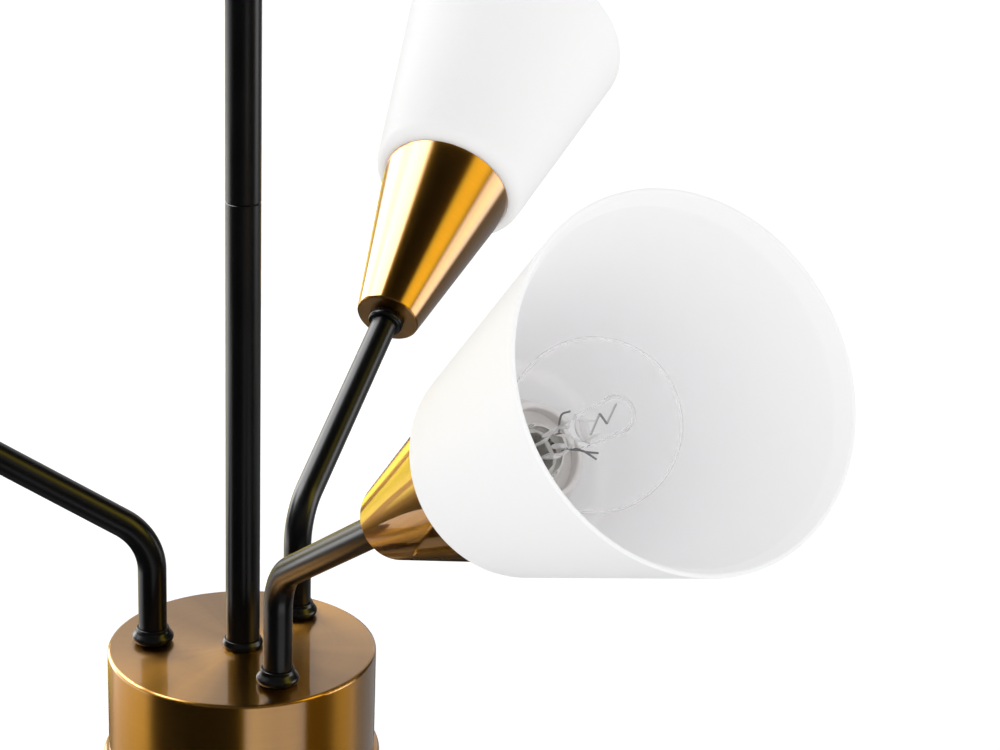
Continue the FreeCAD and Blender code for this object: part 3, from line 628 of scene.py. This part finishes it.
# Bulb caps: rolled nickel-plated brass with the small screw thread, crimped round the neck, with a
# dark glass insulator and a soldered contact at the tip.
NICKEL = (0.74, 0.72, 0.68, 1)
NICKEL_DULL = (0.62, 0.60, 0.57, 1)
DARK_GLASS = (0.02, 0.02, 0.022, 1)
DARK_GLASS_PALE = (0.035, 0.033, 0.03, 1)
CAP_R = 6.8
CAP_FRONT = CONE_L + 15.0
CAP_TIP = CONE_L - 8.0
CAP_COLLAR_R = 8.1
CAP_PITCH = 2.82
CAP_THREAD = 0.55
CAP_BORE_R = 6.0
CAP_HOLE_R = 3.6
CAP_THREAD_LOW = CAP_TIP + 4.8
NECK_R = 7.4

cap_metal = tarnished("cap_metal", 0.35, NICKEL, NICKEL_DULL, 300.0, 0.24, 0.18)
insulator = moulded("cap_insulator", DARK_GLASS, DARK_GLASS_PALE, 0.15, 300.0, 0.005 * MM)

CAP_SHELL = ([(CAP_HOLE_R, CAP_TIP + 3.2), (CAP_R - 0.8, CAP_TIP + 4.0, 0.3)]
             + runs((CAP_R, CAP_THREAD_LOW), (CAP_R, CAP_FRONT - 0.5), THREAD_STEP)
             + [(CAP_COLLAR_R, CAP_FRONT + 1.5, 0.5), (CAP_COLLAR_R, CAP_FRONT + 3.0, 0.2),
                (NECK_R + 0.02, CAP_FRONT + 3.0), (NECK_R + 0.02, CAP_FRONT), (CAP_BORE_R, CAP_FRONT - 0.6),
                (CAP_BORE_R, CAP_TIP + 4.6), (CAP_HOLE_R, CAP_TIP + 3.8)])
shell = threaded(lathe(outline(CAP_SHELL), 64), CAP_THREAD_LOW, CAP_FRONT - 0.6, CAP_PITCH, CAP_THREAD,
                 CAP_R - 0.4)
INSULATOR = [(0, CAP_TIP + 1.0), (2.6, CAP_TIP + 1.0, 0.5), (4.4, CAP_TIP + 3.3), (4.4, CAP_TIP + 3.75),
             (0, CAP_TIP + 3.75)]
CONTACT_TIP = [(0, CAP_TIP), (2.4, CAP_TIP, 1.0), (2.4, CAP_TIP + 1.6, 0.2), (0, CAP_TIP + 1.6)]
for arm in ARMS:
    body = arm + "_bulb"
    place = head_of(arm)
    piece(arm + "_cap_shell", body, cap_metal, [(shell, False, False)],
          [arm + "_bulb_cap"], place)
    turned(arm + "_cap_insulator", body, insulator, INSULATOR, place=place, around=48)
    turned(arm + "_cap_contact", body, cap_metal, CONTACT_TIP, place=place, around=48)

# Bulb glass: a thin clear ball, blown with its neck and closed below by a pressed glass stem that
# the wires come through. Inside it a small clear capsule with a pinched foot holds the filament.
BALL_R = 22.5
BALL_CENTRE = CONE_L + 48.0
NECK_FLARE = 12.0
BULB_WALL = 0.7
SEAL_H = 2.0
CAPSULE_R = 5.0
CAPSULE_WALL = 0.9
CAPSULE_BACK = CONE_L + 43.0
CAPSULE_FRONT = CONE_L + 64.0
CAPSULE_FLOOR = CAPSULE_BACK + 1.4
STEM_TOP = CONE_L + 31.0
CLEAR = (0.997, 0.998, 0.998, 1)
BALL_BEND = 1.055
CAPSULE_BEND = 1.035


def clear_glass(name, bend):
    """Clear glass that is smeared a little in patches and bends light by the given index. The
    indices are far below real glass, so that these thin walls show as faintly as they do when lit
    from all around."""
    glass = Finish(name, Transmission_Weight=1.0, IOR=bend, Base_Color=CLEAR)
    smear = glass.noise(glass.place(), 90.0, 2.0)
    glass.set("Roughness", smear * 0.02)
    glass.relief(smear, 0.05 * MM)
    return glass.material


ball_glass = clear_glass("clear_glass", BALL_BEND)
capsule_glass = clear_glass("capsule_glass", CAPSULE_BEND)


def bulb_line(inset, low):
    """Outline of the bulb from the axis below to the axis above, inset by a wall: a neck, a hollow
    arc that touches both the neck and the ball, and the ball."""
    drop = math.sqrt((BALL_R + NECK_FLARE) ** 2 - (NECK_R + NECK_FLARE) ** 2)
    lean = math.atan2(drop, NECK_R + NECK_FLARE)
    hollow = np.linspace(math.pi, math.pi - lean, 14)
    ball = np.linspace(-lean, math.pi / 2, 44)
    arc_r, ball_r, neck_r = NECK_FLARE + inset, BALL_R - inset, NECK_R - inset
    neck = [[0, low], [neck_r * 0.9, low], [neck_r, low + 0.3]]
    throat = np.stack([NECK_R + NECK_FLARE + arc_r * np.cos(hollow),
                       BALL_CENTRE - drop + arc_r * np.sin(hollow)], 1)
    round_end = np.stack([ball_r * np.cos(ball), BALL_CENTRE + ball_r * np.sin(ball)], 1)
    line = np.vstack([neck, throat, round_end[1:]])
    line[-1, 0] = 0
    return line * MM


def swept(path, width, thickness, side, around=10):
    """Grid of a rod along a path in millimetres. A ring's points are p + w cos a s + t sin a (s x d)
    with d along the path and s the side direction made square to it. Both ends close to a point."""
    path = np.asarray(path, float)
    heading = unit(np.gradient(path, axis=0))
    across = unit(side - (heading @ np.asarray(side, float))[:, None] * heading)
    through = np.cross(across, heading)
    angle = np.linspace(0, 2 * math.pi, around, endpoint=False)[None, :, None]
    ring = path[:, None] + width * np.cos(angle) * across[:, None]
    ring = ring + thickness * np.sin(angle) * through[:, None]
    start, end = np.repeat(path[:1, None], around, 1), np.repeat(path[-1:, None], around, 1)
    return np.concatenate([start, ring, end]) * MM


def flowing(stops, steps=8):
    """Smooth line through the stops. Between two stops it is the cubic that leaves and arrives in
    the direction from each stop's last neighbour to its next one."""
    stops = np.asarray(stops, float)
    ends = np.vstack([2 * stops[0] - stops[1], stops, 2 * stops[-1] - stops[-2]])
    p0, p1, p2, p3 = (ends[i:len(ends) - 3 + i, None] for i in range(4))
    t = np.linspace(0, 1, steps, endpoint=False)[None, :, None]
    line = p1 + t * (p2 - p0) / 2 + t ** 2 * (p0 - 2.5 * p1 + 2 * p2 - p3 / 2)
    line = line + t ** 3 * (p1 - p2) * 1.5 + t ** 3 * (p3 - p0) / 2
    return np.vstack([line.reshape(-1, 3), stops[-1:]])


STEM = [(0, CAP_FRONT + SEAL_H), (6.2, CAP_FRONT + SEAL_H, 0.6), (4.2, CAP_FRONT + SEAL_H + 2.0, 1.5),
        (2.7, CAP_FRONT + SEAL_H + 6.0, 2.0), (2.3, STEM_TOP, 1.0), (0, STEM_TOP)]
CAPSULE_OUT = [(0, CAPSULE_BACK - 0.3), (CAPSULE_R, CAPSULE_BACK, 2.0), (CAPSULE_R, CAPSULE_FRONT, 4.9),
               (0, CAPSULE_FRONT)]
CAPSULE_IN = [(0, CAPSULE_FLOOR), (CAPSULE_R - CAPSULE_WALL, CAPSULE_FLOOR, 1.6),
              (CAPSULE_R - CAPSULE_WALL, CAPSULE_FRONT - CAPSULE_WALL, 4.0),
              (0, CAPSULE_FRONT - CAPSULE_WALL)]
PINCH_PATH = [(0, 0, CAPSULE_BACK - 8.0), (0, 0, CAPSULE_BACK - 4.0), (0, 0, CAPSULE_BACK + 0.4)]
PINCH_W = 4.0
PINCH_T = 1.4
pinch = swept(flowing(PINCH_PATH), PINCH_W, PINCH_T, (1, 0, 0), 24)
for arm in ARMS:
    body = arm + "_bulb"
    place = head_of(arm)
    ball = piece(arm + "_clear_ball", body, ball_glass,
                 [(lathe(bulb_line(0, CAP_FRONT), 128), True, False),
                  (lathe(bulb_line(BULB_WALL, CAP_FRONT + SEAL_H), 128), True, True)],
                 [arm + "_bulb_glass"], place)
    glass_stem = turned(arm + "_glass_stem", body, capsule_glass, STEM,
                        place=place, around=48)
    capsule = piece(arm + "_clear_capsule", body, capsule_glass,
                    [(lathe(outline(CAPSULE_OUT, False), 64), True, False),
                     (lathe(outline(CAPSULE_IN, False), 64), True, True), (pinch, True, False)],
                    [arm + "_bulb_capsule"], place)
    for glass in (ball, glass_stem, capsule):
        glass.visible_diffuse = False

# Wires in the bulb: bent bright supports with folded clamps and a strip to each side of the
# capsule's pinch. The coiled filament and the twisted ends that steady the capsule are dark drawn
# wire.
SUPPORT_METAL = (0.86, 0.85, 0.84, 1)
SUPPORT_DARK = (0.62, 0.61, 0.60, 1)
TUNGSTEN = (0.22, 0.22, 0.22, 1)
TUNGSTEN_DARK = (0.14, 0.14, 0.14, 1)
SIDEWAYS = (0, 1, 0)
ASKEW = (0.3, 1, 0.2)
LEAD_R = 0.42
STRIP_W = 1.3
STRIP_T = 0.16
CLAMP_W = 1.2
CLAMP_T = 0.6
BRACE_R = 0.28
COIL_R = 0.24
COIL_WIRE_R = 0.07
COIL_TURNS = 14

supports = tarnished("support_metal", 0.15, SUPPORT_METAL, SUPPORT_DARK, 900.0, 0.3, 0.2)
tungsten = moulded("tungsten", TUNGSTEN, TUNGSTEN_DARK, 0.35, 900.0, 0.002 * MM)


def seen(x, y, s):
    """Point of the bulb's inside by its distance in front of the glass's back, in millimetres."""
    return (x, y, CONE_L + s)


def coil(start, end, radius, turns):
    """Filament's path: round the straight line from start to end at the radius, turns times."""
    start, end = np.array(start, float), np.array(end, float)
    share = np.linspace(0, 1, turns * 10 + 1)[:, None]
    angle = share * 2 * math.pi * turns
    heading = unit(end - start)
    across = unit(np.cross(heading, ASKEW))
    through = np.cross(heading, across)
    return start + share * (end - start) + radius * (np.cos(angle) * across + np.sin(angle) * through)


LEAD_PATHS = [
    [seen(-1.8, 0, 17), seen(-1.8, 0, 23), seen(-2.6, 0.3, 26), seen(-3.4, 0, 31), seen(-2.4, 0, 36)],
    [seen(1.8, 0, 17), seen(1.8, 0, 23), seen(2.6, -0.3, 26), seen(3.2, 0, 30), seen(2.2, 0, 36)],
]
BRACE_PATHS = [
    [seen(2.2, 0.4, 29), seen(3.0, 0.8, 33), seen(3.6, 0.2, 37), seen(5.2, -0.4, 41), seen(6.9, 0.4, 46)],
    [seen(2.6, -0.3, 33), seen(4.4, 0.7, 38), seen(5.6, -0.6, 42), seen(8.2, 0.4, 44.5)],
    [seen(-2.4, 0.4, 30), seen(-4.8, 0.6, 31), seen(-6.4, 0.2, 34), seen(-6.0, -0.4, 39)],
]
STRIP_PATHS = [
    [seen(-3.6, 0.6, 31), seen(-3.9, 0.3, 36), seen(-3.2, 0.5, 41), seen(-1.2, 0.6, 47)],
    [seen(-1.4, -0.6, 32), seen(0.6, -0.8, 38), seen(2.6, -0.4, 43), seen(2.4, 0, 49)],
]
CLAMP_PATHS = [
    [seen(-3.0, -0.4, 24), seen(-3.2, 0, 26.5), seen(-3.6, 0.2, 29)],
    [seen(2.2, 0.5, 21), seen(2.8, 0.2, 24), seen(3.2, -0.1, 27)],
    [seen(0.2, 1.4, 25), seen(0.8, 1.0, 28), seen(1.4, 0.4, 31)],
]
ZIGZAG = [seen(1.9, 0, 45.5), seen(-2.2, 0.6, 51), seen(1.2, -0.6, 55), seen(-2.6, 0.3, 60)]


def bent_wires(paths, width, thickness, around=10):
    """One rod along each path, as the parts of a piece."""
    return [(swept(flowing(path), width, thickness, SIDEWAYS, around), True, False) for path in paths]


bright_parts = (bent_wires(LEAD_PATHS, LEAD_R, LEAD_R) + bent_wires(STRIP_PATHS, STRIP_W, STRIP_T, 12)
                + bent_wires(CLAMP_PATHS, CLAMP_W, CLAMP_T, 12))
coils = [swept(coil(start, end, COIL_R, COIL_TURNS), COIL_WIRE_R, COIL_WIRE_R, ASKEW, 6)
         for start, end in zip(ZIGZAG[:-1], ZIGZAG[1:])]
dark_parts = [(grid, True, False) for grid in coils] + bent_wires(BRACE_PATHS, BRACE_R, BRACE_R)
for arm in ARMS:
    body = arm + "_bulb"
    place = head_of(arm)
    piece(arm + "_bulb_supports", body, supports, bright_parts,
          [arm + "_bulb_leads"], place)
    piece(arm + "_filament", body, tungsten, dark_parts, place=place)

# Floor: the studio's pale floor, a storey below the ceiling. It is lit like the lamp, and from
# below it is clear, so that the lamp's underside can be looked at.
FLOOR_Z = -2.4
FLOOR_REACH = 40.0
FLOOR_PALE = (0.90, 0.90, 0.90, 1)
FLOOR_GLOW = 0.3
floor_mesh = bpy.data.meshes.new("floor")
corners = [(x * FLOOR_REACH, y * FLOOR_REACH, FLOOR_Z) for x, y in ((-1, -1), (1, -1), (1, 1), (-1, 1))]
floor_mesh.from_pydata(corners, [], [(0, 1, 2, 3)])
floor = bpy.data.objects.new("floor", floor_mesh)
bpy.context.scene.collection.objects.link(floor)
floor.visible_glossy = False
floor.visible_diffuse = False
floor_finish = Finish("floor", Base_Color=FLOOR_PALE, Roughness=0.9)
camera_ray = floor_finish.node("ShaderNodeLightPath", {}, {}).out("Is Camera Ray")
glow = floor_finish.node("ShaderNodeEmission", {}, {"Strength": camera_ray * FLOOR_GLOW})
plain = Link(floor_finish, floor_finish.shader.outputs[0])
lit = floor_finish.node("ShaderNodeAddShader", {}, {0: plain, 1: glow})
below = floor_finish.node("ShaderNodeNewGeometry", {}, {}).out("Backfacing")
clear_below = floor_finish.node("ShaderNodeBsdfTransparent", {}, {})
surface = floor_finish.node("ShaderNodeMixShader", {}, {0: below, 1: lit, 2: clear_below})
floor_finish.feed(floor_finish.node_tree.nodes["Material Output"].inputs["Surface"], surface)
floor_mesh.materials.append(floor_finish.material)

# Studio light: a white background, and even light on matt surfaces that is a little stronger from
# the left and into the near shade. Metal and paint see a dark room with softboxes to the left and
# right, a pale wall behind, low reflectors, a weak fill and two gold reflectors.
TALL_SOFTBOX = (-144, -116, -4, 64, 5, 7.5)
HIGH_SOFTBOX = (-116, -79, 28, 64, 5, 13.0)
LOW_SOFTBOX = (-132, -74, -23, -10, 5, 4.6)
RIGHT_SOFTBOX = (87, 113, -12, 14, 4, 5.2)
FRONT_REFLECTOR = (10, 63, -52, -24, 3, 1.8)
BACK_REFLECTOR = (112, 172, -36, -8, 5, 0.28)
WEAK_FILL = (-40, 54, 10, 42, 6, 0.22)
GOLD_RIGHT = (60, 88, 14, 46, 5, 4.05)
GOLD_LEFT = (-166, -140, -25, -8, 2.5, 1.75)
WHITE = (1, 1, 1, 1)
GOLD = (1, 0.77, 0.08, 1)
WALL_ENDS = (140, 158)
WALL_HEIGHT = (0, 46, 8)
WALL_LIGHT = 0.82
FLOOR_ENDS = (-72, -56)
FLOOR_LIGHT = 0.3
ROOM_LIGHT = 0.012
EVEN_LIGHT = 0.90
EAST_LOSS = 0.06
POLE_LOSS = 0.35
MOUTH_WAY = (0.744, -0.659, -0.106)
MOUTH_GAIN = 0.38
LEFT_WAY = (-0.85, -0.34, 0.40)
LEFT_GAIN = 0.28

world = bpy.data.worlds.new("studio")
bpy.context.scene.world = world
world.use_nodes = True
world.cycles.sampling_method = "NONE"
sky = Tree(world.node_tree)
way = sky.node("ShaderNodeTexCoord", {}, {}).out("Generated")
axes = sky.node("ShaderNodeSeparateXYZ", {}, {0: way})
east, north, up = axes.out("X"), axes.out("Y"), axes.out("Z")
azimuth = sky.node("ShaderNodeMath", {"operation": "ARCTAN2"}, {0: east, 1: 0 - north}) * (180 / math.pi)
elevation = sky.node("ShaderNodeMath", {"operation": "ARCSINE"}, {0: up}) * (180 / math.pi)


def ramp_up(value, low, high):
    """Smooth rise from 0 at the low value to 1 at the high one."""
    return sky.node("ShaderNodeMapRange", {"interpolation_type": "SMOOTHSTEP"},
                    {"Value": value, "From Min": low, "From Max": high, "To Min": 0.0, "To Max": 1.0})


def band(angle, low, high, soft):
    """1 between two angles and 0 beyond them, rising and falling smoothly over the soft edges."""
    return ramp_up(angle, low - soft, low + soft) * (1 - ramp_up(angle, high - soft, high + soft))


def card(left, right, low, high, soft, brightness):
    """Light of a panel between two azimuths and two elevations in degrees, with soft edges. Azimuth
    0 is the camera's side of the lamp, and it grows to the right."""
    return band(azimuth, left, right, soft) * band(elevation, low, high, soft) * brightness


def larger(first, second):
    """The larger of two values."""
    return sky.node("ShaderNodeMath", {"operation": "MAXIMUM"}, {0: first, 1: second})


def facing(x, y, z):
    """Square of how far a direction points the way of (x, y, z), and 0 where it points away."""
    toward = larger(east * x + north * y + up * z, 0.0)
    return toward * toward


softboxes = card(*TALL_SOFTBOX) + card(*HIGH_SOFTBOX) + card(*LOW_SOFTBOX) + card(*RIGHT_SOFTBOX)
reflectors = card(*FRONT_REFLECTOR) + card(*BACK_REFLECTOR)
behind = sky.node("ShaderNodeMath", {"operation": "ABSOLUTE"}, {0: azimuth})
wall = ramp_up(behind, *WALL_ENDS) * band(elevation, *WALL_HEIGHT)
floor_seen = 1 - ramp_up(elevation, *FLOOR_ENDS)
room = softboxes + reflectors + wall * WALL_LIGHT + floor_seen * FLOOR_LIGHT + card(*WEAK_FILL) + ROOM_LIGHT
gold_cards = card(*GOLD_RIGHT) + card(*GOLD_LEFT)
matt = (EVEN_LIGHT - east * EAST_LOSS - up * up * POLE_LOSS
        + facing(*MOUTH_WAY) * MOUTH_GAIN + facing(*LEFT_WAY) * LEFT_GAIN)
light_path = sky.node("ShaderNodeLightPath", {}, {})
seen_plainly = larger(light_path.out("Is Camera Ray"), light_path.out("Is Transmission Ray"))
mirrored = light_path.out("Is Glossy Ray") * (1 - seen_plainly)
scattered = (1 - light_path.out("Is Glossy Ray")) * (1 - seen_plainly)
strength = matt * scattered + room * mirrored + seen_plainly
white_light = sky.node("ShaderNodeBackground", {}, {"Strength": strength, "Color": WHITE})
gold_light = sky.node("ShaderNodeBackground", {}, {"Strength": gold_cards * mirrored, "Color": GOLD})
output = next(node for node in world.node_tree.nodes if node.type == "OUTPUT_WORLD")
sky.feed(output.inputs["Surface"], sky.node("ShaderNodeAddShader", {}, {0: white_light, 1: gold_light}))

# Camera: stands in front of the lamp, a little above the hub, and looks down onto it through a long
# lens. It is rolled a little to one side.
CAMERA_PLACE = (0.101018, -0.707171, -0.202312)
CAMERA_LENS = 79.085
CAMERA_SENSOR = 36.0
CAMERA_HEADING = 1.0918
CAMERA_DIP = 18.531
CAMERA_ROLL = 2.330
camera_data = bpy.data.cameras.new("camera")
camera_data.lens = CAMERA_LENS
camera_data.sensor_width = CAMERA_SENSOR
camera_data.clip_start = 0.01
camera_data.clip_end = 200.0
camera = bpy.data.objects.new("camera", camera_data)
bpy.context.scene.collection.objects.link(camera)
tilt = turn_z(math.radians(CAMERA_HEADING))
pitch = math.radians(90 - CAMERA_DIP)
lift = np.eye(4)
lift[1:3, 1:3] = [[math.cos(pitch), -math.sin(pitch)], [math.sin(pitch), math.cos(pitch)]]
aim = shift(*CAMERA_PLACE) @ tilt @ lift @ turn_z(math.radians(CAMERA_ROLL))
camera.matrix_world = Matrix(aim.tolist())
bpy.context.scene.camera = camera

# Picture: colours are shown as they are lit. White glass throws light from wall to wall inside the
# shades many times before it gets out, so light is followed for more bounces than usual.
bpy.context.scene.view_settings.view_transform = "Standard"
bpy.context.scene.cycles.max_bounces = 32
bpy.context.scene.cycles.diffuse_bounces = 16
